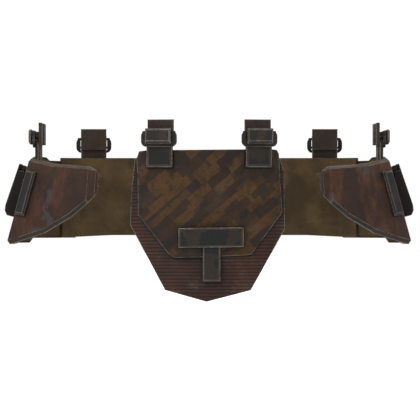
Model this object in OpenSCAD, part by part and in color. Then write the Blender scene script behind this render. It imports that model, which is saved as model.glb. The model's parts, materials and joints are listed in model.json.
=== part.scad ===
// Waist armour: a front apron, two hip plates and a back panel, each hung from two buckled straps.
// The origin is the middle of the waist at the level of the strap ends. +Z is up, the front faces -Y.

/* [Waist] */
// Width across the hip plates at their upper corners
hip_span = 447; // [430:1:470]
// Distance from the waist's middle to the cover's front
apron_y = 150; // [140:1:165]
// Distance from the waist's middle to the back lining
back_y = 121; // [112:1:130]

/* [Straps] */
// Width of every strap
strap_w = 32.5; // [28:0.5:36]
// Thickness of every strap
strap_t = 4; // [3:0.5:4.5]
// Level of the apron's buckles below the strap ends
apron_drop = 23.5; // [22:0.5:30]
// Level of the hip plates' buckles below the strap ends
hip_drop = 22.5; // [20:0.5:30]
// Level of the back panel's buckles below the strap ends
back_drop = 27; // [25:0.5:32]
// Height of the front upper strap above its buckle
apron_strap_up = 23.5; // [20:0.5:40]
// Height of a hip upper strap above its buckle
hip_strap_up = 20.8; // [19:0.5:40]
// Height of a back upper strap above its buckle
back_strap_up = 20.6; // [19:0.5:40]
// Length of an upper strap below its buckle's middle
strap_tail = 6; // [5:0.5:7]
// Length of the lower strap on the apron's face
apron_tab = 21.6; // [18:0.1:30]
// Length of the lower strap on a hip plate or the back panel
inner_tab = 26; // [20:1:32]
// Distance of the apron's straps from the middle
apron_strap_x = 59.5; // [50:0.5:66]
// Distance of the back panel's straps from the middle
back_strap_x = 148; // [142:1:154]
// Place of the front hip strap along the hip
hip_strap_front = -24; // [-32:1:-24]
// Place of the rear hip strap along the hip
hip_strap_rear = 34; // [30:1:40]

/* [Buckles] */
// Width of the buckle frame
frame_w = 45; // [42:1:54]
// Height of the buckle frame
frame_h = 19.8; // [18:0.2:23]
// Thickness of the buckle frame
frame_t = 2.5; // [2:0.1:3]
// Width of the frame's lower metal
frame_rim = 3.8; // [3:0.1:4.2]
// Width of the frame's side metal
frame_side = 5.5; // [4:0.1:5.6]
// Radius of the frame's corners
frame_round = 7; // [5:0.5:8]
// Radius of the frame's round bars
bar_r = 1.4; // [1.2:0.05:1.5]
// Width of the catch plate
catch_w = 32.6; // [28:0.2:35]
// Thickness of the catch plate
catch_t = 3.4; // [3:0.1:4]
// Height of the catch plate above the buckle's middle
catch_up = 12.6; // [12:0.1:13.5]
// Height of the catch plate below the buckle's middle
catch_down = 6.1; // [5:0.1:7]
// Width of the catch plate's hinge knuckle
knuckle_w = 14; // [10:1:18]
// Radius of the catch plate's peg
peg_r = 1.25; // [1:0.05:1.5]

/* [Apron] */
// Radius of the apron's bend, at the cover's front
apron_r = 220; // [190:1:300]
// Thickness of the cover plate
cover_t = 3; // [2:0.1:4]
// Thickness of the ribbed backing
backing_t = 3.5; // [3:0.1:5]
// Thickness of the apron's lining
apron_lining_t = 2; // [1.5:0.1:3]
// Margin of the linings inside the plates' edges
lining_margin = 5; // [3:0.5:8]
// Width of the crossbar
bar_w = 79; // [70:1:86]
// Height of the crossbar
bar_h = 24; // [20:1:27]
// Thickness of the crossbar
bar_t = 6; // [5.5:0.1:8]
// Level of the crossbar's middle
bar_z = -143.4; // [-146:0.2:-140]
// Width of the clasp tongue
tongue_w = 21; // [16:1:26]
// Level of the clasp tongue's lower end
tongue_end_z = -196.2; // [-200:0.2:-188]
// Thickness of the clasp tongue
tongue_t = 3; // [2:0.1:3.2]

/* [Hip plates] */
// Thickness of a hip plate
hip_t = 6; // [5:0.1:7]
// Depth of the bevel round a hip plate
bevel_t = 3; // [2:0.1:4]
// Height of the bevel along the upper edge
bevel_top = 3; // [2:0.1:4]
// Height of the bevel along the lower edge
bevel_bottom = 4.5; // [3:0.1:6]
// How far a hip plate's lower edge stands out from its upper edge
hip_flare = 26; // [20:0.5:32]
// Thickness of the hip and back linings
lining_t = 1.2; // [0.8:0.1:1.5]
// Distance of a hip lining's edges from the plate's
lining_inset = 3; // [2:0.5:8]
// Width of a side lame
lame_w = 62; // [50:1:70]
// Length of a side lame
lame_h = 62; // [56:1:68]
// Height of a side lame's hood over its hinge pin
lame_hood = 4; // [2:0.5:4]
// Thickness of a side lame's hood
lame_hood_t = 2; // [1.5:0.1:2.5]
// Thickness of a side lame at its lower edge
lame_foot_t = 14; // [9:0.5:15]
// Radius of the lame's hinge pin
lame_pin_r = 1.5; // [1.2:0.1:1.8]
// Width of a front splint
splint_w = 16; // [12:0.5:17]
// Length of a front splint
splint_h = 57; // [50:0.5:60]
// Thickness of a front splint
splint_t = 5; // [4:0.1:6]
// Distance of a hip plate's nose from its side corner, towards the middle
nose_in = 75.4; // [70:0.2:80]
// Distance of a hip plate's nose from its side corner, towards the front
nose_ahead = 63.3; // [58:0.1:66]

/* [Back panel] */
// Thickness of the back plate
back_t = 4; // [3:0.1:5]
// Half width of the flat middle of the back panel
back_flat = 166; // [165:1:170]
// Half width over which the back panel's lower edge is level
back_level = 125; // [100:1:150]
// Half width of the whole back panel, on its lining
back_half = 187; // [182:1:190]
// Angle of the back panel's side wings
wing_angle = 41.5; // [39:0.5:44]
// Level of the back panel's upper edge
back_top_z = -43.4; // [-46:0.2:-43]
// Level of the back panel's lower edge at its middle
back_foot_z = -142.2; // [-148:0.2:-138]
// Extra depth of the back panel at the ends of its wings
wing_foot = 4; // [2:0.2:6]

/* [Rivets] */
// Radius of a rivet's shank
rivet_r = 1.5; // [1.2:0.1:2]
// Radius of a rivet's head
rivet_head_r = 4; // [3:0.1:5]
// Height of a rivet's head
rivet_head_h = 1.4; // [1:0.1:2]
// Distance between a strap's two rivets
rivet_pitch = 16; // [12:0.5:20]
// Distance of the rivets from the end of their strap
rivet_edge = 4; // [3.5:0.1:6]

/* [Hidden] */

eps = 0.01;          // overshoot of a cut
gap = 0.3;           // clearance between pieces that only rest on each other
fit = 0.05;          // radial clearance of a hinge or a rivet
seat = 0.1;          // clearance of a piece riveted, sewn or clamped to another
wall = 1.6;          // leather or metal round a bar
root = 0.5;          // how far a peg or a knuckle is sunk into its plate
far = 400;           // longer than any piece
left = -1;
right = 1;

// Levels across a buckle, measured outwards from the back of the lower strap
frame_back = strap_t + 0.2;
bar_depth = frame_back + frame_t / 2;
bar_level = (frame_h - frame_rim) / 2;      // height of the upper bar over the buckle's middle
loop_level = 1 - bar_level / 2;             // level of the bar that the lower strap is folded round
fold_r = bar_r + seat;                      // inside of the strap's fold
loop_r = fold_r + wall;                     // outside of the strap's fold
catch_back = bar_depth + loop_r + gap;
knuckle_r = bar_r + wall;
peg_drop = 6;                               // from the hinge bar down to the peg
peg_level = bar_level - peg_drop;
peg_tip = -gap - 0.7;                       // the peg ends just inside the upper strap
outer_ply = strap_t / 2;                    // the ply of the upper strap that holds the peg

// Apron, drawn flat as seen from the front: X to the right, Z up
apron_top = -36.4;
cover_outline = [[-87.2, -68.7], [-88.5, -48], [-85.4, -38.7], [-76, -37.4], [74.3, -36.1], [82.2, -36.8],
    [84.9, -41.9], [86.8, -77.2], [88.9, -113.3], [50.6, -164.7], [-7.5, -167.2], [-42.4, -168],
    [-48.3, -164.7], [-86.6, -115.8]];
backing_outline = [[-90.5, -46.5], [-95.1, -91.8], [-96.4, -127.8], [-53.7, -207.3], [-3.3, -221.4],
    [50.6, -207.5], [92.2, -133.1], [91.4, -64.4], [86.2, -46.5]];
apron_axis_y = apron_r - apron_y;           // where the apron's bend has its centre
backing_r = apron_r - cover_t;
apron_lining_r = backing_r - backing_t;
apron_middle = [0, -120];                   // point that the lining's outline shrinks towards
apron_half_w = 95;
bar_x = 2.3;
tongue_x = 3;

// Hip plate, drawn for the right side: outer upper and lower ridge points from the nose to the rear end
hip_x = hip_span / 2;
nose_x = hip_x - nose_in;
corner_y = -45;
nose_y = corner_y - nose_ahead;
hip_lower_x = hip_x + hip_flare;
rear_t = back_t + lining_t + gap;                       // from the back lining to the hip lining
wing_n = [sin(wing_angle), cos(wing_angle)];            // outwards from a wing
wing_end = [back_half, back_y - (back_half - back_flat) * tan(wing_angle)];
rear_line = wing_end + wing_n * (rear_t + lining_t + hip_t);
function on_rear(x) = [x, rear_line[1] + (rear_line[0] - x) * tan(wing_angle)];
rear_top_x = hip_x - 2.5;
rear_foot_x = hip_lower_x - 3;
rear_end_x = back_half - 12;
// Each row: lower x, y, z, upper x, y, z, thickness, bevel depth, upper and lower bevel height
hip_rows = [
    [nose_x - 11.8, nose_y - 5, -80, nose_x - 11.8, nose_y - 5, -73, 2.5, 0.6, 0.8, 0.8],
    [nose_x - 7.4, nose_y - 1.1, -92, nose_x - 9.6, nose_y - 2.9, -62.3, 2.5, 0.6, 0.8, 0.8],
    [nose_x + 2.6, nose_y - 3.1, -97.1, nose_x, nose_y, -59.7, hip_t, bevel_t, bevel_top, bevel_bottom],
    [nose_x + 25, nose_y + 9.1, -115, nose_x + 20, nose_y + 16.7, -58.3, hip_t, bevel_t, bevel_top, bevel_bottom],
    [nose_x + 57, nose_y + 26.6, -133.6, nose_x + 47, nose_y + 39.3, -55.8, hip_t, bevel_t, bevel_top, bevel_bottom],
    [hip_lower_x, corner_y - 12.2, -147.6, hip_x, corner_y, -49.3, hip_t, bevel_t, bevel_top, bevel_bottom],
    [hip_lower_x - 1, 0, -148, hip_x - 1, 10, -46, hip_t, bevel_t, bevel_top, bevel_bottom],
    concat(on_rear(rear_foot_x), -147, on_rear(rear_top_x), -45, [hip_t, bevel_t, bevel_top, bevel_bottom]),
    concat(on_rear(rear_foot_x - 15), -147, on_rear(rear_top_x - 10), -46, [hip_t, bevel_t, bevel_top, bevel_bottom]),
    concat(on_rear(rear_foot_x - 19), -141, on_rear(rear_top_x - 14), -50, [hip_t, bevel_t, bevel_top, bevel_bottom]),
    concat(on_rear(rear_end_x), -141, on_rear(rear_end_x), -51, [hip_t, bevel_t, bevel_top, bevel_bottom])];

function unit(v) = v / norm(v);
function plan(row) = [row[3], row[4]];
function outward(i) = let (d = unit(plan(hip_rows[i + 1]) - plan(hip_rows[i]))) [d[1], -d[0]];
function mitre(i) = let (last = len(hip_rows) - 1,
    a = outward(max(0, i - 1)), b = outward(min(last - 1, i))) (a + b) / (1 + a * b);
function inset(point, m, d) = [point[0] - m[0] * d, point[1] - m[1] * d, point[2]];
function lift(point, h) = [point[0], point[1], point[2] + h];
function low(row) = [row[0], row[1], row[2]];
function high(row) = [row[3], row[4], row[5]];
// Six points round the plate at one row: lower ridge, upper ridge, upper rim, inner top, inner foot, lower rim
function plate_ring(i) = let (r = hip_rows[i], m = mitre(i)) [
    low(r), high(r), lift(inset(high(r), m, r[7]), r[8]), lift(inset(high(r), m, r[6]), r[8]),
    lift(inset(low(r), m, r[6]), -r[9]), lift(inset(low(r), m, r[7]), -r[9])];
// The lining follows the plate's inner face and stops short of its edges
function lining_ring(i) = let (r = hip_rows[i], m = mitre(i), d = hip_t + fit,
    top = lift(inset(high(r), m, d), r[8]), foot = lift(inset(low(r), m, d), -r[9]), back = [m[0], m[1], 0] * lining_t,
    edge = unit(foot - top) * lining_inset) [foot - edge, top + edge, top + edge - back, foot - edge - back];

// A closed skin through a list of rings with the same number of points. The outer face's triangles are cut
// the other way, so that they lie parallel to the inner face's.
module skin(rings) {
    n = len(rings[0]);
    last = len(rings) - 1;
    points = [for (ring = rings) for (p = ring) p];
    sides = [for (i = [0:last - 1]) for (j = [0:n - 1]) let (k = (j + 1) % n)
        each j == 0 ? [[i * n, i * n + 1, (i + 1) * n], [i * n + 1, (i + 1) * n + 1, (i + 1) * n]]
        : [[i * n + j, i * n + k, (i + 1) * n + k], [i * n + j, (i + 1) * n + k, (i + 1) * n + j]]];
    start = [[for (j = [n - 1:-1:0]) j]];
    finish = [[for (j = [0:n - 1]) last * n + j]];
    polyhedron(points = points, faces = concat(start, sides, finish), convexity = 4);
}

module on_side(side) {
    if (side == left) mirror([1, 0, 0]) children();
    else children();
}

// A prism through the apron with the outline seen from the front
module front_prism(outline) {
    translate([0, far / 2, 0]) rotate([90, 0, 0]) linear_extrude(far) polygon(outline);
}

module bent_sheet(outer_r, thickness, outline) {
    intersection() {
        translate([0, apron_axis_y, -far]) difference() {
            cylinder(r = outer_r, h = far * 1.2, $fn = 180);
            translate([0, 0, -eps]) cylinder(r = outer_r - thickness, h = far * 1.2 + 1, $fn = 180);
        }
        front_prism(outline);
    }
}

// A slab lying on the X-Z plane with bevels round its front, which faces -Y
module bevelled_slab(w, foot, top, t, side_cut, foot_cut, top_cut, cut_t) {
    intersection() {
        translate([0, 0, foot]) linear_extrude(top - foot) polygon([[-w / 2, 0], [w / 2, 0], [w / 2, -t + cut_t],
            [w / 2 - side_cut, -t], [-w / 2 + side_cut, -t], [-w / 2, -t + cut_t]]);
        along_x(w + 2) polygon([[0, foot], [0, top], [-t + cut_t, top], [-t, top - top_cut],
            [-t, foot + foot_cut], [-t + cut_t, foot]]);
    }
}

// Draws a profile given as Y and Z, and makes it w long along X about the middle
module along_x(w) {
    translate([-w / 2, 0, 0]) rotate([90, 0, 90]) linear_extrude(w) children();
}

module bar_along_x(r, w, depth, level) {
    translate([-w / 2, -depth, level]) rotate([0, 90, 0]) cylinder(r = r, h = w, $fn = 32);
}

// Splint on the front facet and lame on the side facet
corner_top = high(hip_rows[5]);
corner_foot = low(hip_rows[5]);
plate_lean = atan(hip_flare / (corner_top[2] - corner_foot[2]));
front_turn = atan2(corner_y - nose_y, hip_x - nose_x);
along_front = [cos(front_turn), sin(front_turn), 0];
splint_roll = atan((corner_foot - corner_top) * along_front / (corner_top[2] - corner_foot[2]));
splint_level = 0.41;                        // how far down the corner the splint's middle is
splint_in = 2.8;                            // from the corner to the splint's edge
splint_place = corner_top + (corner_foot - corner_top) * splint_level - along_front * (splint_w / 2 + splint_in);
splint_stand = 0.2;
lame_y = 4;
lame_pin_z = -59;
lame_knuckle = 27;                          // width of the lame's own knuckle
lame_end = 12;                              // width of each knuckle of the hinge
lame_leaf_t = 2;
lame_leaf_h = 12;
lame_pin_depth = 5.6;
lame_knuckle_r = 3.3;
lame_stand = (corner_top[2] - lame_pin_z) * tan(plate_lean) + seat;

// Strap places: each set of children is drawn about the buckle's middle, with -Y outwards
apron_turn = asin(apron_strap_x / apron_r);
module at_apron(side) {
    translate([side * apron_strap_x, apron_axis_y - sqrt(apron_r * apron_r - apron_strap_x * apron_strap_x) - seat,
        -apron_drop]) rotate([0, 0, side * apron_turn]) children();
}

hip_top_z = -46;
strap_wall = hip_t + lining_t + strap_t + seat;         // from a hip plate's outer face to the strap's back
hip_places = ["front", "rear"];
function hip_turn(place) = place == "front" ? 90.2 : 91;
function hip_strap_lean(place) = place == "front" ? 13.3 : 12.9;
function facet_x(y) = lookup(y, [[corner_y, hip_x], [10, hip_x - 1], [on_rear(rear_top_x)[1], rear_top_x]]);
module at_hip(side, place) {
    along = place == "front" ? hip_strap_front : hip_strap_rear;
    translate([side * (facet_x(along) - strap_wall), along, -hip_drop]) rotate([0, 0, side * hip_turn(place)])
        children();
}

// The leaning part of a hip strap, drawn about its bend
module at_hip_tab(side, place) {
    at_hip(side, place) translate([0, 0, hip_edge]) rotate([-hip_strap_lean(place), 0, 0]) children();
}

module at_back(side) {
    translate([side * back_strap_x, back_y + lining_t + back_t + seat, -back_drop]) rotate([0, 0, 180]) children();
}

module rivet_holes(level, from, to) {
    for (u = [-rivet_pitch / 2, rivet_pitch / 2])
        translate([u, -from, level]) rotate([90, 0, 0]) cylinder(r = rivet_r + fit, h = to - from, $fn = 24);
}

// Two rivets with their heads inside and their ends hidden in the outer piece
module rivets(level, from, to) {
    for (u = [-rivet_pitch / 2, rivet_pitch / 2]) translate([u, -from, level]) {
        rotate([90, 0, 0]) cylinder(r = rivet_r, h = to - from, $fn = 24);
        rotate([-90, 0, 0]) cylinder(r1 = rivet_head_r, r2 = rivet_head_r * 0.55, h = rivet_head_h, $fn = 24);
    }
}

module buckle_frame() {
    a = frame_w / 2;
    b = frame_h / 2;
    inner = a - frame_side;
    foot = frame_rim - b;
    span = catch_w / 2 + gap;
    outline = [for (q = [[1, 1, 0], [-1, 1, 90], [-1, -1, 180], [1, -1, 270]]) for (i = [0:4])
        [q[0] * (a - frame_round), q[1] * (b - frame_round)]
        + frame_round * [cos(q[2] + 22.5 * i), sin(q[2] + 22.5 * i)]];
    color("dimgray") {
        difference() {
            translate([0, -frame_back, 0]) rotate([90, 0, 0]) linear_extrude(frame_t) difference() {
                polygon(outline);
                polygon([[-inner, foot], [inner, foot], [inner, b - frame_rim], [-inner, b - frame_rim]]);
            }
            translate([-span, -frame_back - frame_t - 1, b - frame_rim - 1]) cube([2 * span, frame_t + 2, frame_rim + 2]);
        }
        bar_along_x(bar_r, frame_w - frame_rim, bar_depth, bar_level);
        bar_along_x(bar_r, frame_w - frame_rim, bar_depth, loop_level);
    }
}

module catch_plate() {
    color([0.33, 0.28, 0.24]) difference() {
        union() {
            translate([0, -catch_back, 0])
                bevelled_slab(catch_w, -catch_down, catch_up, catch_t, 1.6, 3.4, 1.8, 1.8);
            translate([-knuckle_w / 2, -catch_back - root, bar_level - knuckle_r])
                cube([knuckle_w, catch_back - bar_depth + root, 2 * knuckle_r]);
            bar_along_x(knuckle_r, knuckle_w, bar_depth, bar_level);
            translate([0, -peg_tip, peg_level]) rotate([90, 0, 0])
                cylinder(r = peg_r, h = catch_back - peg_tip + root, $fn = 24);
        }
        bar_along_x(bar_r + fit, far / 2, bar_depth, bar_level);
    }
}

// The billet: a flat strap of two plies; its outer ply has a long hole that the catch plate's peg drops into
module upper_strap(up) {
    slot_r = peg_r + 0.5;
    slot_from = peg_level - 2.5;
    slot_to = peg_level + 1;
    color([0.3, 0.25, 0.21]) difference() {
        translate([-strap_w / 2, gap, -strap_tail]) cube([strap_w, strap_t, strap_tail + up]);
        for (z = [slot_from, slot_to])
            translate([0, gap + outer_ply, z]) rotate([90, 0, 0]) cylinder(r = slot_r, h = outer_ply + 1, $fn = 24);
        translate([-slot_r, gap - 1, slot_from]) cube([2 * slot_r, outer_ply + 1, slot_to - slot_from]);
    }
}

// Folded strap: two plies sewn flat, its top turned round the frame's lower bar, with a slot for the peg
// and the rivets' holes; the ply under the rivets' ends stays whole when hole is less than the thickness
module lower_strap(edge, tab, lean, hole) {
    end = [-tab * sin(lean), edge - tab * cos(lean)];
    ply = [-strap_t * cos(lean), strap_t * sin(lean)];
    color([0.24, 0.24, 0.25]) difference() {
        union() {
            along_x(strap_w) polygon([[0, loop_level], [0, edge], end, end + ply,
                [-strap_t, edge + strap_t * tan(lean / 2)], [-strap_t, loop_level]]);
            bar_along_x(loop_r, strap_w, bar_depth, loop_level);
        }
        bar_along_x(fold_r, far / 2, bar_depth, loop_level);
        translate([-peg_r - 1, -far / 4, loop_level - 1.2]) cube([2 * peg_r + 2, far / 2, 20]);
        translate([0, 0, edge]) rotate([-lean, 0, 0]) rivet_holes(rivet_edge - tab, -1, hole);
    }
}

// Apron
apron_edge = apron_top + apron_drop;
apron_rivet_level = apron_edge - apron_tab + rivet_edge;
blind = strap_t - 0.5;                      // depth of the rivet holes in the apron's and the back's straps
module apron_strap_cuts() {
    for (side = [left, right]) at_apron(side) rivet_holes(apron_rivet_level, -20, 20);
}

module apron_cover() {
    color([0.34, 0.24, 0.14]) difference() {
        bent_sheet(apron_r, cover_t, cover_outline);
        apron_strap_cuts();
    }
}

module apron_backing() {
    color([0.3, 0.17, 0.14]) difference() {
        bent_sheet(backing_r, backing_t, backing_outline);
        apron_strap_cuts();
    }
}

module apron_lining() {
    shrink = 1 - lining_margin / apron_half_w;
    outline = [for (p = backing_outline) apron_middle + (p - apron_middle) * shrink];
    color([0.3, 0.26, 0.18]) difference() {
        bent_sheet(apron_lining_r, apron_lining_t, outline);
        apron_strap_cuts();
    }
}

module apron_rivets() {
    through = cover_t + backing_t + apron_lining_t + 1.5 * gap;
    color("gray") for (side = [left, right]) at_apron(side) rivets(apron_rivet_level, -through, blind - seat);
}

module clasp_crossbar() {
    a = bar_w / 2;
    b = bar_h / 2;
    color([0.28, 0.27, 0.27]) difference() {
        bent_sheet(apron_r + bar_t, bar_t, [[bar_x - a, bar_z - b - 0.6], [bar_x + a, bar_z - b + 0.6],
            [bar_x + a, bar_z + b + 0.6], [bar_x - a, bar_z + b - 0.6]]);
        translate([tongue_x - tongue_w / 2 - gap, -apron_y - tongue_t - gap, bar_z - b - 2])
            cube([tongue_w + 2 * gap, tongue_t + bar_t, bar_h]);
    }
}

module clasp_tongue() {
    face = -apron_y - seat;
    step = cover_t + seat;
    cover_edge = -168.5;                    // just under the cover's lowest point
    top = bar_z + bar_h / 2 - 2.5;
    color([0.28, 0.27, 0.27]) translate([tongue_x, 0, 0]) along_x(tongue_w)
        polygon([[face, top], [face, cover_edge], [face + step - 0.2, cover_edge - 3], [face + step - 0.2, tongue_end_z],
            [face - tongue_t, tongue_end_z], [face - tongue_t, top]]);
}

// Hip plates
module hip_plate(side) {
    color([0.4, 0.23, 0.15]) difference() {
        on_side(side) skin([for (i = [0:len(hip_rows) - 1]) plate_ring(i)]);
        hip_strap_cuts(side);
    }
}

module hip_lining(side) {
    color([0.3, 0.26, 0.18]) difference() {
        on_side(side) skin([for (i = [3:len(hip_rows) - 1]) lining_ring(i)]);
        hip_strap_cuts(side);
    }
}

hip_edge = hip_top_z + hip_drop;
hip_rivet_level = rivet_edge - inner_tab;
rivet_cover = 1.6;                          // part of the hip plate left over a rivet's end
hip_rivet_end = strap_wall - rivet_cover;
module hip_strap_cuts(side) {
    for (place = hip_places) at_hip_tab(side, place) rivet_holes(hip_rivet_level, -20, hip_rivet_end + seat);
}

module hip_rivets(side) {
    color("gray") for (place = hip_places) at_hip_tab(side, place) rivets(hip_rivet_level, -seat, hip_rivet_end);
}

// A narrow bar along the front facet's outer edge, drawn on the facet
module front_splint(side) {
    color([0.22, 0.22, 0.23]) on_side(side) translate(splint_place) rotate([0, 0, front_turn])
        rotate([-plate_lean, 0, 0]) rotate([0, -splint_roll, 0]) translate([0, -splint_stand, 0])
        bevelled_slab(splint_w, -splint_h / 2, splint_h / 2, splint_t, 2, 2.4, 2, 2.4);
}

// The side lame hangs from a pin in front of the side facet, drawn about the pin's line with -Y outwards
module at_lame(side) {
    on_side(side) translate([hip_x + lame_stand, lame_y, lame_pin_z]) rotate([0, 0, 90])
        rotate([-plate_lean, 0, 0]) children();
}

module side_lame(side) {
    half = lame_knuckle / 2;
    hood = lame_pin_depth + lame_knuckle_r + gap;
    color([0.13, 0.11, 0.1]) at_lame(side) difference() {
        union() {
            along_x(lame_w) polygon([[-lame_leaf_t - gap, -lame_knuckle_r - root], [-hood, -lame_knuckle_r - root],
                [-hood, lame_hood], [-hood - lame_hood_t, lame_hood], [-lame_foot_t - 1, 12 - lame_h],
                [-lame_foot_t, 5 - lame_h], [4 - lame_foot_t, -lame_h], [-gap, -lame_h], [-gap, -lame_leaf_h - 3],
                [-lame_leaf_t - gap, -lame_leaf_h - 1]]);
            bar_along_x(lame_knuckle_r, lame_knuckle, lame_pin_depth, 0);
            translate([-half, -lame_pin_depth - lame_knuckle_r, -lame_knuckle_r - 2])
                cube([lame_knuckle, lame_pin_depth + lame_knuckle_r - lame_leaf_t - gap, lame_knuckle_r + 2]);
        }
        bar_along_x(lame_pin_r + fit, far / 2, lame_pin_depth, 0);
    }
}

// Leaf on the hip plate with two outer knuckles and the pin through them
module lame_hinge(side) {
    color("dimgray") at_lame(side) {
        along_x(lame_knuckle + 2 * lame_end)
            polygon([[0, -lame_leaf_h], [0, 2], [-lame_leaf_t, 2], [-lame_leaf_t, -lame_leaf_h]]);
        for (s = [left, right]) translate([s * (lame_knuckle / 2 + gap + lame_end / 2), 0, 0]) {
            bar_along_x(lame_knuckle_r, lame_end - gap, lame_pin_depth, 0);
            along_x(lame_end - gap) polygon([[-lame_pin_depth, -2], [-lame_pin_depth, 2], [-1, 2], [-1, -2]]);
        }
        bar_along_x(lame_pin_r, lame_knuckle + lame_end, lame_pin_depth, 0);
    }
}

// Back panel, bent at the ends of its flat middle; d is the depth behind the lining's inner face
function back_path(d) = let (m = [tan(wing_angle / 2), 1]) [
    [-back_half, wing_end[1]] + [-wing_n[0], wing_n[1]] * d, [-back_flat, back_y] + [-m[0], m[1]] * d,
    [back_flat, back_y] + m * d, wing_end + wing_n * d];

module back_sheet(d, t, margin) {
    foot = back_foot_z - wing_foot;
    intersection() {
        translate([0, 0, foot - 1]) linear_extrude(back_top_z - margin - foot + 1) polygon(concat(back_path(d + t),
            [for (i = [3:-1:0]) back_path(d)[i]]));
        front_prism([[-back_half - 20, 0], [-back_half - 20, foot + margin], [-back_level, back_foot_z + margin],
            [back_level, back_foot_z + margin], [back_half + 20, foot + margin], [back_half + 20, 0]]);
    }
}

back_edge = back_top_z + back_drop;
back_rivet_level = back_edge - inner_tab + rivet_edge;
module back_strap_cuts() {
    for (side = [left, right]) at_back(side) rivet_holes(back_rivet_level, -20, 20);
}

module back_plate() {
    color([0.4, 0.23, 0.15]) difference() {
        back_sheet(lining_t, back_t, 0);
        back_strap_cuts();
    }
}

module back_lining() {
    color([0.3, 0.26, 0.18]) difference() {
        back_sheet(0, lining_t, 0.6);
        back_strap_cuts();
    }
}

module back_rivets() {
    color("gray") for (side = [left, right]) at_back(side)
        rivets(back_rivet_level, -back_t - lining_t - 2 * gap / 3, blind - seat);
}

apron_backing();
apron_cover();
apron_lining();
clasp_crossbar();
clasp_tongue();
apron_rivets();
back_plate();
back_lining();
back_rivets();
hip_plate(left);  // left_hip_plate
hip_plate(right);  // right_hip_plate
hip_lining(left);  // left_hip_lining
hip_lining(right);  // right_hip_lining
hip_rivets(left);  // left_hip_rivets
hip_rivets(right);  // right_hip_rivets
for (s = [left, right]) {
    name = s == left ? "left" : "right";
    at_apron(s) lower_strap(apron_edge, apron_tab, 0, blind);
    at_apron(s) upper_strap(apron_strap_up);
    at_apron(s) buckle_frame();
    at_apron(s) catch_plate();
    at_back(s) lower_strap(back_edge, inner_tab, 0, blind);
    at_back(s) upper_strap(back_strap_up);
    at_back(s) buckle_frame();
    at_back(s) catch_plate();
    front_splint(s);
    side_lame(s);
    lame_hinge(s);
    for (place = hip_places) {
        at_hip(s, place) lower_strap(hip_edge, inner_tab, hip_strap_lean(place), strap_t + 1);
        at_hip(s, place) upper_strap(hip_strap_up);
        at_hip(s, place) buckle_frame();
        at_hip(s, place) catch_plate();
    }
}
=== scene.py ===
# Waist armour: a pointed apron, two flared hip plates and a back panel on buckled straps.
# Each piece is its CAD solid, finished where it is, or a plate of the same outline, and rides on its body.
import json
import math

import bmesh
import bpy
from mathutils import Matrix, Vector, noise
from mathutils.bvhtree import BVHTree


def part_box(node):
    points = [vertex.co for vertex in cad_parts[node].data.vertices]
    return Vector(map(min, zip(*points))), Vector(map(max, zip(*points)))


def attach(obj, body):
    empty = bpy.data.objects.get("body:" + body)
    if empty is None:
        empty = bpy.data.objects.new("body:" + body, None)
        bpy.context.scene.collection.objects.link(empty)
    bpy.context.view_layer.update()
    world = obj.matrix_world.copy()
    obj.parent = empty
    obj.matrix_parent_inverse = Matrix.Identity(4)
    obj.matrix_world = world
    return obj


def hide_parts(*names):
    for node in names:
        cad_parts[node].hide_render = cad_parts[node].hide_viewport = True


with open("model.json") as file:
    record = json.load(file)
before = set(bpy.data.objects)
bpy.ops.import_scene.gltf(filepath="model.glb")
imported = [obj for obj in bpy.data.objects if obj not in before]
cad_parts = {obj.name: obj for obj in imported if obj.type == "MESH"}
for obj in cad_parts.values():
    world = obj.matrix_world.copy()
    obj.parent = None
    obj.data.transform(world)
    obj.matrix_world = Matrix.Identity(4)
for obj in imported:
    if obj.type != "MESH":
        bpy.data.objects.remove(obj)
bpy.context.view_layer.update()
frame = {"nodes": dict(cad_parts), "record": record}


# Back plate: one wide plate bent round the back, with a flat middle and two wings.
# It is metal in rust-brown paint that is worn to grey in streaks, and its cut edges are rubbed bare.

MM = 0.001


class Value:
    """An output of a shader node. An expression on it adds the Math nodes that it takes."""

    def __init__(self, shader, socket):
        self.shader = shader
        self.socket = socket

    def maths(self, operation, *terms):
        return self.shader.node("ShaderNodeMath", {"operation": operation}, dict(enumerate(terms)))

    def __add__(self, other):
        return self.maths("ADD", self, other)

    def __radd__(self, other):
        return self.maths("ADD", other, self)

    def __sub__(self, other):
        return self.maths("SUBTRACT", self, other)

    def __rsub__(self, other):
        return self.maths("SUBTRACT", other, self)

    def __mul__(self, other):
        return self.maths("MULTIPLY", self, other)

    def __rmul__(self, other):
        return self.maths("MULTIPLY", other, self)

    def step(self, low, high):
        """0 at low, 1 at high and a smooth ramp between them."""
        return self.shader.node("ShaderNodeMapRange", {"interpolation_type": "SMOOTHSTEP"},
                                {"Value": self, "From Min": low, "From Max": high}, "Result")


class Shader:
    """The nodes of a material, or of the light from all round."""

    def __init__(self, owner):
        owner.use_nodes = True
        self.tree = owner.node_tree

    def fill(self, node, sockets):
        """Gives sockets their values or their links."""
        for name, value in sockets.items():
            if isinstance(value, Value):
                self.tree.links.new(value.socket, node.inputs[name])
            else:
                node.inputs[name].default_value = value

    def node(self, kind, settings, sockets, output=0):
        """Adds a node with its settings and sockets, and hands back one of its outputs."""
        node = self.tree.nodes.new(kind)
        for name, value in settings.items():
            setattr(node, name, value)
        self.fill(node, sockets)
        return Value(self, node.outputs[output])


MIX_UNDER, MIX_OVER, MIX_RESULT = 6, 7, 2       # the colour sockets of a Mix node
BUMP_HEIGHT = 0.3 * MM


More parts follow.
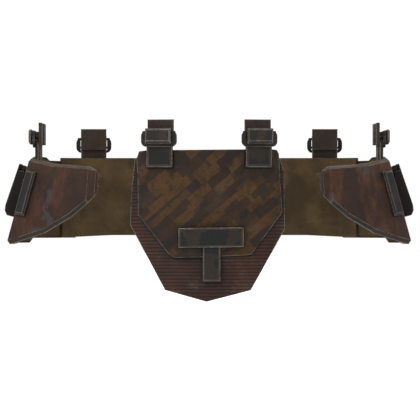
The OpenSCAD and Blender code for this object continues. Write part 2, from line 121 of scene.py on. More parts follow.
class Finish(Shader):
    """A material with a base colour, layers of wear over it and a bump."""

    def __init__(self, name, base, roughness, metallic=0.0, specular=0.14):
        self.material = bpy.data.materials.new(name)
        super().__init__(self.material)
        self.surface = self.tree.nodes["Principled BSDF"]
        self.fill(self.surface,
                  {"Roughness": roughness, "Metallic": metallic, "Specular IOR Level": specular})
        self.coordinates = self.node("ShaderNodeTexCoord", {}, {}, "Object")
        self.colour = base

    def place(self, stretch, turn):
        """The object's coordinates for a pattern that is stretched and turned."""
        if stretch == (1, 1, 1) and turn == (0, 0, 0):
            return self.coordinates
        return self.node("ShaderNodeMapping", {"vector_type": "TEXTURE"},
                         {"Vector": self.coordinates, "Scale": stretch,
                          "Rotation": [math.radians(angle) for angle in turn]})

    def noise(self, scale, detail, roughness, stretch=(1, 1, 1), turn=(0, 0, 0), distortion=0.0):
        return self.node("ShaderNodeTexNoise", {},
                         {"Vector": self.place(stretch, turn), "Scale": scale, "Detail": detail,
                          "Roughness": roughness, "Distortion": distortion})

    def layer(self, amount, colour):
        """Lays a colour over what is there, as much as amount says."""
        self.colour = self.node("ShaderNodeMix", {"data_type": "RGBA"},
                                {0: amount, MIX_UNDER: self.colour, MIX_OVER: colour}, MIX_RESULT)

    def done(self, bump=None, strength=0.0, roughness=None):
        """Joins the colour, the bump and the roughness to the surface."""
        sockets = {"Base Color": self.colour}
        if bump is not None:
            relief = {"Strength": strength, "Distance": BUMP_HEIGHT, "Height": bump}
            sockets["Normal"] = self.node("ShaderNodeBump", {}, relief, "Normal")
        if roughness is not None:
            sockets["Roughness"] = roughness
        self.fill(self.surface, sockets)
        return self.material


DIM = 0.4       # the studio light and the gloss brighten a paint by about as much


def paint(red, green, blue):
    """A colour read off as 0 to 255, for the shader."""
    def linear(level):
        level = level / 255
        return level / 12.92 if level <= 0.04045 else ((level + 0.055) / 1.055) ** 2.4
    return (DIM * linear(red), DIM * linear(green), DIM * linear(blue), 1.0)


def rusty_paint():
    finish = Finish("rusty_plate", paint(72, 48, 34), 0.55, 0.1)
    broad = finish.noise(15, 5, 0.6)
    fine = finish.noise(160, 6, 0.7)
    grain = finish.noise(64, 7, 0.75, stretch=(1, 1, 5))
    area = finish.noise(21, 4, 0.6, stretch=(1, 1, 1.6))
    bare = finish.noise(24, 6, 0.62, stretch=(1, 1, 2.4), distortion=0.8)
    finish.layer(broad.step(0.42, 0.6) * 0.75, paint(56, 40, 34))
    finish.layer((grain * 0.55 + area * 0.45).step(0.49, 0.64) * 0.6, paint(118, 72, 42))
    finish.layer((1 - grain).step(0.52, 0.66) * 0.5, paint(46, 33, 29))
    finish.layer(fine.step(0.55, 0.68) * 0.45, paint(44, 34, 30))
    finish.layer((bare - fine * 0.1).step(0.54, 0.57) * 0.65, paint(80, 76, 75))
    return finish.done(fine + broad, 0.35, fine * 0.3 + 0.42)


def rubbed_edge(name, bright, dark):
    """Bare metal or leather along an edge, dulled again in places."""
    finish = Finish(name, bright, 0.5, 0.25)
    chips = finish.noise(130, 6, 0.7)
    runs = finish.noise(28, 3, 0.5)
    finish.layer((chips * 0.6 + runs * 0.4).step(0.44, 0.58), dark)
    return finish.done(chips, 0.3)


nodes = frame["nodes"]
body_of_node = {node: body for body, members in frame["record"]["behaviour"]["bodies"].items()
                for node in members}
MAIN, EDGE = 0, 1                   # the places of a piece's first two finishes
FACET_ANGLE = math.radians(14)      # below it two faces are one bent surface
FLAT_WITHIN = math.radians(0.6)
SAME_POINT = 0.02 * MM
DIAGONAL_SHARE = 0.97               # a diagonal is at least this part of a triangle's longest side
LEAST_ROUNDED = 8 * MM * MM


def solid_of(node):
    """A node's solid, with the triangles of each flat face joined again."""
    bm = bmesh.new()
    bm.from_mesh(nodes[node].data)
    bmesh.ops.remove_doubles(bm, verts=bm.verts, dist=SAME_POINT)
    bmesh.ops.dissolve_limit(bm, angle_limit=FLAT_WITHIN, verts=bm.verts, edges=bm.edges,
                             use_dissolve_boundaries=False)
    for face in bm.faces:
        face.material_index = MAIN
    return bm


def diagonal(edge):
    """Whether an edge only cuts a four-sided face in two."""
    length = edge.calc_length()
    return all(len(face.verts) == 3
               and length > DIAGONAL_SHARE * max(other.calc_length() for other in face.edges)
               for face in edge.link_faces)


def round_edges(bm, width, angle=25, limit=True):
    """Rounds the edges between large faces. The small faces of pins and knuckles stay as they are."""
    large = {face for face in bm.faces if face.calc_area() > LEAST_ROUNDED}
    sharp = [edge for edge in bm.edges if edge.is_manifold and edge.calc_face_angle(0) > math.radians(angle)
             and all(face in large for face in edge.link_faces) and not diagonal(edge)]
    made = bmesh.ops.bevel(bm, geom=sharp, offset=width, segments=2, profile=0.5, affect="EDGES",
                           clamp_overlap=limit, material=-1)
    for face in made["faces"]:
        face.material_index = EDGE


def piece_of(bm, name, node, materials):
    """Makes the piece, gives it its finishes and ties it to the body of a node."""
    for edge in bm.edges:
        edge.smooth = edge.is_manifold and (edge.calc_face_angle(0) < FACET_ANGLE or diagonal(edge))
    for face in bm.faces:
        face.smooth = True
    mesh = bpy.data.meshes.new(name)
    bm.to_mesh(mesh)
    bm.free()
    for material in materials:
        mesh.materials.append(material)
    piece = bpy.data.objects.new(name, mesh)
    bpy.context.scene.collection.objects.link(piece)
    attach(piece, body_of_node[node])
    return piece


def finished(bm, node, materials):
    """Makes the piece that is shown in place of a node's plain solid."""
    piece = piece_of(bm, node + "_piece", node, materials)
    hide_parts(node)
    return piece


RUST = rusty_paint()
DARK_EDGE = rubbed_edge("dark_worn_edge", paint(108, 101, 94), paint(62, 56, 50))
plate = solid_of("back_plate")
round_edges(plate, width=0.6 * MM)
finished(plate, "back_plate", [RUST, DARK_EDGE])


# Back lining: blotched olive cloth, stretched over the inside of the back plate and held by its rivets.
# It is cut into small faces, so that its open side lies a little unevenly.

ON_PLANE = 1e-6


def cut_across(bm, direction, level):
    everything = list(bm.faces) + list(bm.edges) + list(bm.verts)
    bmesh.ops.bisect_plane(bm, geom=everything, plane_co=direction * level, plane_no=direction,
                           dist=ON_PLANE)


def olive_cloth():
    finish = Finish("olive_cloth", paint(102, 84, 60), 0.9, specular=0.05)
    blotch = finish.noise(16, 3, 0.5)
    second = finish.noise(27, 3, 0.55)
    weave = finish.noise(700, 2, 0.5, stretch=(1, 1, 0.3)) + finish.noise(700, 2, 0.5, stretch=(0.3, 0.3, 1))
    finish.layer(blotch.step(0.38, 0.62) * 0.8, paint(80, 66, 48))
    finish.layer(second.step(0.46, 0.66) * 0.6, paint(124, 101, 70))
    finish.layer((1 - second).step(0.5, 0.68) * 0.55, paint(74, 63, 46))
    finish.layer(weave.step(0.9, 1.15) * 0.3, paint(58, 50, 36))
    return finish.done(weave, 0.5)


CLOTH = olive_cloth()
CLOTH_CELL = 10 * MM
CLOTH_LIFT = 0.25 * MM
CLOTH_WAVES = 45            # waves of unevenness in a metre
FACES_INWARD = 0.2
WAIST_MIDDLE = Vector((0, 0, -0.1))


def lining(node):
    """Cuts a lining into cells and lifts its open side."""
    bm = solid_of(node)
    low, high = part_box(node)
    for axis in range(3):
        direction = Vector([1.0 if i == axis else 0.0 for i in range(3)])
        level = low[axis] + CLOTH_CELL / 2
        while level < high[axis]:
            cut_across(bm, direction, level)
            level += CLOTH_CELL
    bmesh.ops.triangulate(bm, faces=bm.faces)
    for vertex in bm.verts:
        inward = (WAIST_MIDDLE - vertex.co).normalized()
        if all(face.normal.dot(inward) > FACES_INWARD for face in vertex.link_faces):
            vertex.co += inward * (CLOTH_LIFT + CLOTH_LIFT * noise.noise(vertex.co * CLOTH_WAVES))
    piece = finished(bm, node, [CLOTH])


lining("back_lining")


# Back rivets: they hold the straps and the lining to the plate, and their heads show on the lining.
# They are dull metal of about the cloth's colour, and keep their solids.

def worn_coat(name, base, second, light, roughness, metallic=0.0):
    """A plain paint, leather or metal with broad dark areas and fine light wear."""
    finish = Finish(name, base, roughness, metallic)
    broad = finish.noise(36, 4, 0.6)
    fine = finish.noise(190, 6, 0.7)
    finish.layer(broad.step(0.42, 0.64) * 0.7, second)
    finish.layer(fine.step(0.57, 0.72) * 0.5, light)
    return finish.done(fine + broad * 0.5, 0.35, fine * 0.3 + (roughness - 0.15))


RIVET_METAL = worn_coat("olive_metal", paint(100, 84, 58), paint(84, 70, 48), paint(112, 98, 74), 0.6)


def rivets(node):
    nodes[node].data.materials.clear()
    nodes[node].data.materials.append(RIVET_METAL)


rivets("back_rivets")


# Hip plates: each is metal in the back plate's paint and runs round the hip in a front, a side and a rear
# facet. The upward bevels along the top are painted lighter, a painted highlight from above, and the
# downward ones along the foot darker, a painted shade. The folds between the facets are worn bright.

PLATE_EDGE = rubbed_edge("plate_edge", paint(126, 120, 112), paint(76, 67, 58))
# Lit and shaded copies of the rust paint: the top band is painted light from above, the foot band painted
# shade.
LIT_TOP_BAND = worn_coat("rusty_band_painted_light", paint(100, 82, 68), paint(72, 60, 52), paint(132, 116, 102), 0.5, 0.2)
SHADED_FOOT_BAND = worn_coat("rusty_foot_painted_shade", paint(62, 50, 42), paint(44, 37, 33), paint(96, 86, 76), 0.5, 0.2)
TOP, FOOT = 2, 3            # the places of the bands' finishes
BEVEL_SLANT = 0.45

for side in ("left", "right"):
    plate = solid_of(side + "_hip_plate")
    # Faces that look up take the painted light, and faces that look down take the painted shade.
    for face in plate.faces:
        if abs(face.normal.z) > BEVEL_SLANT:
            face.material_index = TOP if face.normal.z > 0 else FOOT
    round_edges(plate, width=0.8 * MM, angle=13)
    finished(plate, side + "_hip_plate", [RUST, PLATE_EDGE, LIT_TOP_BAND, SHADED_FOOT_BAND])


# Splints: a narrow dark bar stands on each front facet, beside the fold.
# It is painted metal with patches worn to brown, and a thin light border round its face.

BORDER = 2                  # the place of a border's finish


def cells(finish, scale, stretch, turn):
    """A random value for each cell of a pattern of slanted patches."""
    colour = finish.node("ShaderNodeTexVoronoi", {"distance": "MANHATTAN"},
                         {"Vector": finish.place(stretch, turn), "Scale": scale, "Randomness": 0.75}, "Color")
    return finish.node("ShaderNodeSeparateColor", {}, {"Color": colour}, "Red")


def dark_paint(name, base, brown):
    finish = Finish(name, base, 0.55, 0.2)
    patches = cells(finish, 52, (1.3, 4, 1), (0, -38, 0))
    fine = finish.noise(150, 6, 0.7)
    scratch = finish.noise(70, 4, 0.6, stretch=(3, 1, 0.5), turn=(0, -30, 0))
    finish.layer(patches.step(0.66, 0.69) * 0.8, brown)
    finish.layer(fine.step(0.56, 0.72) * 0.45, paint(84, 78, 72))
    finish.layer(scratch.step(0.6, 0.7) * 0.4, paint(28, 27, 27))
    return finish.done(fine, 0.3, fine * 0.3 + 0.4)


def add_borders(bm, width, least_area):
    """Gives the large flat faces a border of another finish."""
    faces = [face for face in bm.faces if face.calc_area() > least_area]
    made = bmesh.ops.inset_individual(bm, faces=faces, thickness=width, depth=0, use_even_offset=True)
    for face in made["faces"]:
        face.material_index = BORDER


SPLINT_PAINT = dark_paint("splint_grey", paint(43, 43, 43), paint(58, 50, 44))
BROWN_BORDER = worn_coat("brown_grey_border", paint(82, 71, 61), paint(66, 56, 48), paint(114, 104, 94),
                         0.55, 0.1)
for side in ("left", "right"):
    splint = solid_of(side + "_splint")
    add_borders(splint, width=1.2 * MM, least_area=500 * MM * MM)
    round_edges(splint, width=0.5 * MM)
    finished(splint, side + "_splint", [SPLINT_PAINT, DARK_EDGE, BROWN_BORDER])


# Lames and their hinges: a dark flap hangs over each side facet and lifts on a pin.
# Its paint is darkened further to near black by painted shade.
# The leaf and the pin under the flap's hood are dark steel, riveted to the plate.

# The lame's own dark paint, darkened further to near black by painted shade.
LAME_PAINT_AND_SHADE = worn_coat("dark_lame_and_painted_shade", paint(36, 30, 26), paint(27, 23, 21), paint(58, 50, 44), 0.5, 0.2)
STEEL = worn_coat("dark_steel", paint(62, 55, 50), paint(44, 39, 36), paint(104, 96, 88), 0.5, 0.4)
for side in ("left", "right"):
    lame = solid_of(side + "_lame")
    round_edges(lame, width=0.8 * MM)
    finished(lame, side + "_lame", [LAME_PAINT_AND_SHADE, DARK_EDGE])
    hinge = solid_of(side + "_lame_hinge")
    round_edges(hinge, width=0.3 * MM)
    finished(hinge, side + "_lame_hinge", [STEEL, DARK_EDGE])


# Hip linings and rivets: the same olive cloth, stretched inside each hip plate, with the same rivets.
# The cloth follows the plate's three facets and ends a little inside its edges.

for side in ("left", "right"):
    lining(side + "_hip_lining")
    rivets(side + "_hip_rivets")


# Apron backing: a pointed plate of dark red-brown leather, bent round the front of the waist.
# Grooves pressed across its front leave ribs between them, and their bottoms are painted darker as painted
# shade.
# Painted shade lies beside the cover and the clasp tongue, and a near-black painted shadow along the cover.

APRON_AXIS_Y = 70 * MM      # centre of the apron's bend
BACKING_R = 217 * MM        # front of the backing
BACKING_T = 3.5 * MM
STRIP = 5 * MM              # width of the strips that the bend is made of
STRIP_SHIFT = 0.7 * MM      # keeps the cuts off the outlines' corners
STRIPS_A_SIDE = 19
ON_THE_CUT = 0.01 * MM
FACE_ORDER = Vector((1, 0.37, 0.73))
RIB_PITCH = 4.2 * MM
RIB_DEPTH = 1.0 * MM
GROOVE_PROFILE = ((0, 1), (0.2, 0.25), (0.5, 0), (0.8, 0.25))       # part of the pitch, part of the depth
GROOVE_HALF = 0.2           # part of the pitch
GROOVE = 2                  # the place of the grooves' finish
RIGHTWARD = Vector((1, 0, 0))
UPWARD = Vector((0, 0, 1))
# Outlines are seen from the front, in mm.
BACKING_OUTLINE = [(-90.5, -46.5), (-95.1, -91.8), (-96.4, -127.8), (-53.7, -207.3), (-3.3, -221.4),
                   (50.6, -207.5), (92.2, -133.1), (91.4, -64.4), (86.2, -46.5)]
COVER_OUTLINE = [(-87.2, -68.7), (-88.5, -48), (-85.4, -38.7), (-76, -37.4), (74.3, -36.1), (82.2, -36.8),
                 (84.9, -41.9), (86.8, -77.2), (88.9, -113.3), (50.6, -164.7), (-7.5, -167.2), (-42.4, -168),
                 (-48.3, -164.7), (-86.6, -115.8)]
TONGUE_OUTLINE = [(-7.5, -196.2), (13.5, -196.2), (13.5, -156), (-7.5, -156)]


def along(finish, direction):
    """How far along a direction a point is."""
    return finish.node("ShaderNodeVectorMath", {"operation": "DOT_PRODUCT"},
                       {0: finish.coordinates, 1: direction}, "Value")


def beside(finish, outline, reach):
    """1 on a convex outline seen from the front, and 0 at reach outside it. A negative reach is inside."""
    farthest = None
    middle = [sum(point[axis] for point in outline) / len(outline) for axis in (0, 1)]
    for (x0, z0), (x1, z1) in zip(outline, outline[1:] + outline[:1]):
        length = math.hypot(x1 - x0, z1 - z0)
        out = ((z1 - z0) / length, (x0 - x1) / length)
        if out[0] * (middle[0] - x0) + out[1] * (middle[1] - z0) > 0:
            out = (-out[0], -out[1])
        distance = along(finish, (out[0], 0, out[1])) - (out[0] * x0 + out[1] * z0) * MM
        farthest = distance if farthest is None else distance.maths("MAXIMUM", farthest, distance)
    return farthest.step(reach, 0)


def ribbed_leather(name, ridge, dark, dust):
    finish = Finish(name, ridge, 0.6)
    broad = finish.noise(18, 4, 0.6)
    fine = finish.noise(220, 5, 0.7)
    dirt = finish.noise(46, 6, 0.72, stretch=(1.6, 1, 1))
    finish.layer(broad.step(0.4, 0.62) * 0.7, dark)
    finish.layer((dirt * 0.7 + fine * 0.3).step(0.52, 0.62) * 0.55, dust)
    finish.layer((0.72 + fine * 0.5 - broad).step(0.5, 0.62) * 0.4, dust)
    # Painted shade: darker under and beside the cover and the tongue, and a near-black painted shadow along
    # the cover's edge.
    finish.layer(beside(finish, COVER_OUTLINE[::2], 26 * MM) * 0.62, paint(38, 26, 22))
    finish.layer(beside(finish, TONGUE_OUTLINE, 8 * MM) * 0.45, paint(28, 22, 20))
    finish.layer(beside(finish, COVER_OUTLINE, 3 * MM) * 0.8, paint(16, 13, 12))
    return finish.done(fine, 0.3, fine * 0.25 + 0.48)


def flat_plate(outline, thickness):
    """A plate before it is bent, with its front at y = 0."""
    bm = bmesh.new()
    for y in (0, thickness):
        bm.faces.new([bm.verts.new((x * MM, y, z * MM)) for x, z in outline])
    bmesh.ops.bridge_loops(bm, edges=bm.edges)
    bmesh.ops.recalc_face_normals(bm, faces=bm.faces)
    return bm


def bend(bm, front_r, grooves=()):
    """Presses the grooves into a flat plate's front and bends it, strip by strip, round the apron's axis."""
    for level, drop in grooves:
        cut_across(bm, UPWARD, level)
    for strip in range(-STRIPS_A_SIDE, STRIPS_A_SIDE + 1):
        cut_across(bm, RIGHTWARD, strip * STRIP + STRIP_SHIFT)
    for vertex in bm.verts:
        depth = vertex.co.y
        for level, drop in grooves:
            if depth < ON_THE_CUT and abs(vertex.co.z - level) < ON_THE_CUT:
                depth += RIB_DEPTH * drop
        vertex.co.y = APRON_AXIS_Y - math.sqrt((front_r - depth) ** 2 - vertex.co.x ** 2)
    # The cuts leave the faces in another order on each run.
    bm.faces.sort(key=lambda face: face.calc_center_median() @ FACE_ORDER)


def groove_cuts(low, high):
    """Heights of the cuts for the ribs, each with its part of a groove's depth."""
    cuts = []
    level = low + 0.5 * RIB_PITCH
    while level < high:
        cuts += [(level + part * RIB_PITCH, drop) for part, drop in GROOVE_PROFILE]
        level += RIB_PITCH
    return cuts


RIDGES = ribbed_leather("ribbed_leather", paint(84, 50, 36), paint(56, 36, 29), paint(104, 88, 78))
# The groove bottoms take the ridges' finish painted darker: painted shade in the recesses.
GROOVES_IN_PAINTED_SHADE = ribbed_leather("groove", paint(56, 35, 28), paint(40, 28, 24), paint(70, 58, 51))
plate = flat_plate(BACKING_OUTLINE, BACKING_T)
round_edges(plate, width=0.8 * MM)
heights = [z * MM for x, z in BACKING_OUTLINE]
cuts = groove_cuts(min(heights), max(heights))
bend(plate, BACKING_R, cuts)
bottoms = [level for level, drop in cuts if drop == 1]
for face in plate.faces:
    level = face.calc_center_median().z
    beside_bottom = any(abs(level - bottom) < GROOVE_HALF * RIB_PITCH for bottom in bottoms)
    if face.material_index == MAIN and beside_bottom:
        face.material_index = GROOVE
finished(plate, "apron_backing", [RIDGES, PLATE_EDGE, GROOVES_IN_PAINTED_SHADE])


# Apron cover: a smooth plate bent with the backing and riveted over it, painted in slanted blocks of ochre,
# olive and brown. Its edge is worn bright, and painted shade lies around the straps and the clasp.

COVER_R = 220 * MM          # front of the cover, and the crossbar's seat
COVER_T = 3 * MM
CROSSBAR_OUTLINE = [(-37.2, -156), (41.8, -154.8), (41.8, -130.8), (-37.2, -132)]
STRAP_MIDDLES = (-59.5, 59.5)
STRAP_HALF = 16
STRAP_FOOT, STRAP_TOP = -59, -30
STRAP_OUTLINES = [[(x - STRAP_HALF, STRAP_FOOT), (x + STRAP_HALF, STRAP_FOOT),
                   (x + STRAP_HALF, STRAP_TOP), (x - STRAP_HALF, STRAP_TOP)] for x in STRAP_MIDDLES]
ROW_SHIFT = 7               # a row of blocks is shifted by up to so many blocks


def blocks(finish, width, length, angle, wobble):
    """A random value for each block of a pattern of slanted rows."""
    turn = math.radians(angle)
    row = (along(finish, (-math.sin(turn), 0, math.cos(turn))) + wobble) * (1 / width)
    row = row.maths("FLOOR", row)
    shift = finish.node("ShaderNodeTexWhiteNoise", {"noise_dimensions": "1D"}, {"W": row}, "Value")
    block = (along(finish, (math.cos(turn), 0, math.sin(turn))) + wobble) * (1 / length) + shift * ROW_SHIFT
    block = block.maths("FLOOR", block)
    both = finish.node("ShaderNodeCombineXYZ", {}, {"X": row, "Y": block})
    return finish.node("ShaderNodeTexWhiteNoise", {"noise_dimensions": "2D"}, {"Vector": both}, "Value")


def blocky_paint():
    finish = Finish("blocky_cover", paint(70, 48, 31), 0.6, 0.05)
    fine = finish.noise(170, 6, 0.7)
    cloud = finish.noise(34, 5, 0.65)
    broad = finish.noise(13, 3, 0.5)
    wobble = (cloud + fine * 0.4) * (1.4 * MM)
    wide = blocks(finish, 11 * MM, 31 * MM, 40, wobble)
    slim = blocks(finish, 8.3 * MM, 21 * MM, 43, wobble)
    finish.layer(wide.step(0.58, 0.6) * 0.6, paint(118, 82, 34))
    finish.layer((1 - wide).step(0.66, 0.68) * 0.6, paint(48, 37, 34))
    finish.layer(slim.step(0.8, 0.82) * 0.65, paint(42, 39, 34))
    finish.layer((1 - slim).step(0.84, 0.86) * 0.5, paint(112, 78, 34))
    finish.layer(broad.step(0.4, 0.62) * 0.45, paint(60, 42, 30))
    finish.layer((1 - cloud).step(0.5, 0.62) * 0.45, paint(48, 35, 28))
    finish.layer((cloud * 0.7 + fine * 0.3).step(0.54, 0.62) * 0.35, paint(96, 85, 76))
    finish.layer(fine.step(0.5, 0.66) * 0.55, paint(36, 26, 20))
    finish.layer((1 - broad).step(0.4, 0.6) * 0.3, paint(34, 26, 20))
    finish.layer(beside(finish, COVER_OUTLINE, -12 * MM) * 0.35, paint(42, 34, 29))
    # Painted shade around each strap, the crossbar and the tongue, and a near-black painted shadow right
    # along them.
    for outline in STRAP_OUTLINES + [CROSSBAR_OUTLINE, TONGUE_OUTLINE]:
        finish.layer(beside(finish, outline, 9 * MM) * 0.3, paint(38, 30, 25))
        finish.layer(beside(finish, outline, 2.2 * MM) * 0.85, paint(16, 14, 13))
    return finish.done(fine + cloud, 0.35, fine * 0.3 + 0.45)


def add_rim(bm, width):
    """Gives a flat plate's front and back a border."""
    add_borders(bm, width, least_area=0.5 * max(face.calc_area() for face in bm.faces))


BLOCKS = blocky_paint()
plate = flat_plate(COVER_OUTLINE, COVER_T)
add_rim(plate, width=0.7 * MM)
round_edges(plate, width=0.9 * MM)
bend(plate, COVER_R)
finished(plate, "apron_cover", [BLOCKS, PLATE_EDGE, BROWN_BORDER])


# Clasp: a crossbar, bent with the cover and riveted over it, and a flat tongue that hangs from under it.
# Both are thick plates in dark blue-grey paint, with a brown-grey border and worn edges.

CLASP_PAINT = dark_paint("dark_blue_grey", paint(39, 40, 41), paint(62, 52, 43))
WORN_EDGE = rubbed_edge("worn_edge", paint(146, 138, 128), paint(96, 87, 78))
CROSSBAR_T = 6 * MM
plate = flat_plate(CROSSBAR_OUTLINE, CROSSBAR_T)
add_rim(plate, width=2.4 * MM)
round_edges(plate, width=0.7 * MM)
bend(plate, COVER_R + CROSSBAR_T)
finished(plate, "clasp_crossbar", [CLASP_PAINT, WORN_EDGE, BROWN_BORDER])

tongue = solid_of("clasp_tongue")
add_borders(tongue, width=2.2 * MM, least_area=400 * MM * MM)
round_edges(tongue, width=0.6 * MM)
finished(tongue, "clasp_tongue", [CLASP_PAINT, WORN_EDGE, BROWN_BORDER])


# Apron lining and rivets: the same olive cloth, stretched behind the backing.
# The rivets go through both plates and hold the lining, the straps and the clasp.

lining("apron_lining")
rivets("apron_rivets")


# Lower straps: each is riveted to its panel and folded round its buckle's lower bar.
# They are dark grey leather with a brown border, raw brown inside, and stitched down the sides and across
# the end.

# Each strap's turn about the vertical, in degrees. At 0 it faces the viewer.
STRAP_YAWS = {"apron_left": -15.69, "apron_right": 15.69, "back_left": 180, "back_right": 180,
              "left_front": -90.2, "left_rear": -91, "right_front": 90.2, "right_rear": 91}
STITCH_FROM_SIDE = 2.9 * MM
STITCH_FROM_END = 3.2 * MM
STITCH_PITCH = 2.9 * MM
STITCH_SIZE = (2, 0.7, 0.5)     # in mm: along the row, across it and up
STITCH_TAPER = 0.6
STITCH_LIFT = 0.05              # in mm
SIDE_STITCHES = 6
END_STITCHES = 8
CLEAR_OF_STRAP = 30 * MM
SIDE_ON = 0.5
FACES_AWAY = -0.7
INSIDE = 3                      # the place of the raw inside's finish
STRAP_LEATHER = worn_coat("strap_blue_grey", paint(38, 38, 39), paint(60, 50, 42), paint(68, 61, 54), 0.7)
RAW_LEATHER = worn_coat("strap_brown", paint(68, 55, 46), paint(52, 42, 36), paint(92, 82, 72), 0.7)
THREAD = worn_coat("thread", paint(96, 89, 80), paint(72, 67, 60), paint(118, 110, 100), 0.85)


def strap_directions(yaw):
    """Across a strap and out of its front, for a strap turned by yaw."""
    turn = math.radians(yaw)
    return Vector((math.cos(turn), math.sin(turn), 0)), Vector((math.sin(turn), -math.cos(turn), 0))


def add_bands(bm, across, width, foot, top):
    """Gives a strap's sides, and its foot or its top, a border of another finish."""
    bands = []
    for direction, low_side, high_side in ((across, True, True), (UPWARD, foot, top)):
        reach = [vertex.co @ direction for vertex in bm.verts]
        if low_side:
            bands.append((direction, min(reach) + width, -1))
        if high_side:
            bands.append((direction, max(reach) - width, 1))
    for direction, level, sign in bands:
        cut_across(bm, direction, level)
    for face in bm.faces:
        middle = face.calc_center_median()
        banded = any((middle @ direction - level) * sign > 0 for direction, level, sign in bands)
        if banded and abs(face.normal @ across) < SIDE_ON:
            face.material_index = BORDER


def stitches(strap, name, across, out):
    """Thread down a strap's two sides and across its end, each stitch a small tapered block."""
    corners = [vertex.co for vertex in strap.data.vertices]
    surface = BVHTree.FromPolygons(corners, [polygon.vertices for polygon in strap.data.polygons])
    spread = [[corner[axis] for corner in corners] for axis in (0, 1)]
    middle = Vector([(min(places) + max(places)) / 2 for places in spread] + [0])
    reach = [corner @ across for corner in corners]
    low = min(reach) + STITCH_FROM_SIDE
    high = max(reach) - STITCH_FROM_SIDE
    foot = min(corner.z for corner in corners) + STITCH_FROM_END
    points = []
    for step in range(SIDE_STITCHES):
        points += [(low, foot + STITCH_PITCH * step, False), (high, foot + STITCH_PITCH * step, False)]
    for step in range(1, END_STITCHES + 1):
        points.append((low + (high - low) * step / (END_STITCHES + 1), foot, True))
    bm = bmesh.new()
    for place, height, crosswise in points:
        start = middle + UPWARD * height
        start += across * (place - start @ across) + out * CLEAR_OF_STRAP
        hit, normal = surface.ray_cast(start, -out)[:2]
        if hit is None:
            continue
        run = across if crosswise else normal.cross(across)
        sideways = normal.cross(run)
        stitch = bmesh.ops.create_cube(bm, size=1)["verts"]
        upper = [vertex for vertex in stitch if vertex.co.z > 0]
        bmesh.ops.scale(bm, verts=stitch, vec=STITCH_SIZE)
        bmesh.ops.scale(bm, verts=upper, vec=(STITCH_TAPER, 1, 1))
        bmesh.ops.translate(bm, verts=stitch, vec=(0, 0, STITCH_LIFT))
        turn = Matrix((run, sideways, normal)).transposed()
        bmesh.ops.transform(bm, verts=stitch, matrix=Matrix.Translation(hit) @ (turn * MM).to_4x4())
    bmesh.ops.recalc_face_normals(bm, faces=bm.faces)
    piece_of(bm, name + "_stitches", name + "_lower_strap", [THREAD])


for name, yaw in STRAP_YAWS.items():
    across, out = strap_directions(yaw)
    strap = solid_of(name + "_lower_strap")
    add_bands(strap, across, width=2.2 * MM, foot=True, top=False)
    round_edges(strap, width=0.7 * MM, limit=False)
    strap.normal_update()
    for face in strap.faces:
        if face.material_index == MAIN and face.normal @ out < FACES_AWAY:
            face.material_index = INSIDE
    piece = finished(strap, name + "_lower_strap", [STRAP_LEATHER, WORN_EDGE, BROWN_BORDER, RAW_LEATHER])
    seen = -out if name.startswith(("left", "right")) else out
    stitches(piece, name, across, seen)


# Upper straps: brown-grey leather that runs behind the buckle and up to the wearer's breastplate.
# Only the sides and the top end have a thin worn border.

for name, yaw in STRAP_YAWS.items():
    across = strap_directions(yaw)[0]
    strap = solid_of(name + "_upper_strap")
    add_bands(strap, across, width=1.2 * MM, foot=False, top=True)
    round_edges(strap, width=0.5 * MM, limit=False)
    finished(strap, name + "_upper_strap", [RAW_LEATHER, DARK_EDGE, BROWN_BORDER])


# Buckles: a dark steel frame with rounded ears and edges that are worn bright.
# The catch turns on its upper bar, and the lower strap is folded round its lower bar.

for name in STRAP_YAWS:
    buckle = solid_of(name + "_buckle")
    round_edges(buckle, width=0.4 * MM, limit=False)
    finished(buckle, name + "_buckle", [STEEL, WORN_EDGE])


# Catches: a bevelled plate turns on each buckle's upper bar, and its peg locks the upper strap.
# It is metal in brown-grey paint. Its bevels, which are its narrow faces, are rubbed lighter.

CATCH_PAINT = dark_paint("catch_grey", paint(50, 49, 47), paint(72, 58, 47))
CATCH_RIM = worn_coat("catch_rim", paint(82, 74, 68), paint(60, 53, 48), paint(118, 108, 100), 0.5, 0.2)
BEVEL_WIDTH = 2.8 * MM

for name in STRAP_YAWS:
    catch = solid_of(name + "_catch")
    for face in catch.faces:
        if 2 * face.calc_area() / face.calc_perimeter() < BEVEL_WIDTH:
            face.material_index = BORDER
    round_edges(catch, width=0.55 * MM, limit=False)
    finished(catch, name + "_catch", [CATCH_PAINT, WORN_EDGE, CATCH_RIM])


# Stage: a plain pale floor, well below the armour so that it takes no sharp shadow, even white light that is
# stronger from above, and two soft lamps, in front on the left and behind on the right.

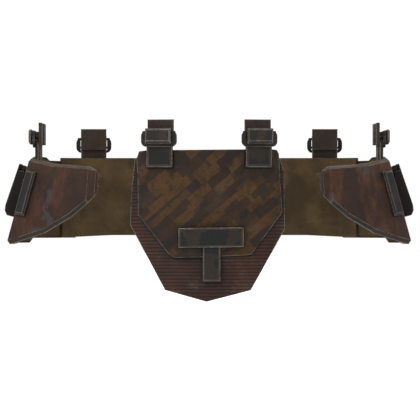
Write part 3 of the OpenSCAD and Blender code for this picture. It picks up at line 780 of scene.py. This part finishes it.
FLOOR_LEVEL = -0.6
FLOOR_HALF = 40
FLOOR_PALE = (0.97, 0.97, 0.97, 1)
MORE_FROM_ABOVE = 0.8
LAMPS = (((-1.0, -1.5, 1.5), 24, 0.8), ((1.2, 1.6, 1.4), 12, 1.2))     # place, energy and size
bm = bmesh.new()
bmesh.ops.create_grid(bm, x_segments=1, y_segments=1, size=FLOOR_HALF,
                      matrix=Matrix.Translation((0, 0, FLOOR_LEVEL)))
mesh = bpy.data.meshes.new("floor")
bm.to_mesh(mesh)
bm.free()
mesh.materials.append(Finish("pale_floor", FLOOR_PALE, 0.9, specular=0.0).done())
floor = bpy.data.objects.new("floor", mesh)
bpy.context.scene.collection.objects.link(floor)

bpy.context.scene.world = bpy.data.worlds.new("soft_light")
sky = Shader(bpy.context.scene.world)
direction = sky.node("ShaderNodeTexCoord", {}, {}, "Generated")
up = sky.node("ShaderNodeSeparateXYZ", {}, {"Vector": direction}, "Z")
strength = up.maths("MAXIMUM", up, 0.0) * MORE_FROM_ABOVE + 1
sky.fill(sky.tree.nodes["Background"], {"Color": (1, 1, 1, 1), "Strength": strength})

for place, energy, size in LAMPS:
    lamp = bpy.data.lights.new("soft_lamp", "AREA")
    lamp.energy = energy
    lamp.size = size
    lamp_object = bpy.data.objects.new("soft_lamp", lamp)
    lamp_object.location = place
    lamp_object.rotation_euler = (WAIST_MIDDLE - Vector(place)).to_track_quat("-Z", "Y").to_euler()
    bpy.context.scene.collection.objects.link(lamp_object)
bpy.context.scene.view_settings.view_transform = "Standard"


# Camera: level with the armour's middle and far in front of it, with a long lens, so that little perspective
# shows, as in the photograph.

LENS = 342.9
SENSOR = 36
CAMERA_PLACE = (0.001, -5.0, -0.110)
camera = bpy.data.cameras.new("photo_camera")
camera.lens = LENS
camera.sensor_width = SENSOR
camera.clip_end = 200
photo_camera = bpy.data.objects.new("photo_camera", camera)
photo_camera.location = CAMERA_PLACE
photo_camera.rotation_euler = (math.radians(90), 0, 0)
bpy.context.scene.collection.objects.link(photo_camera)
bpy.context.scene.camera = photo_camera
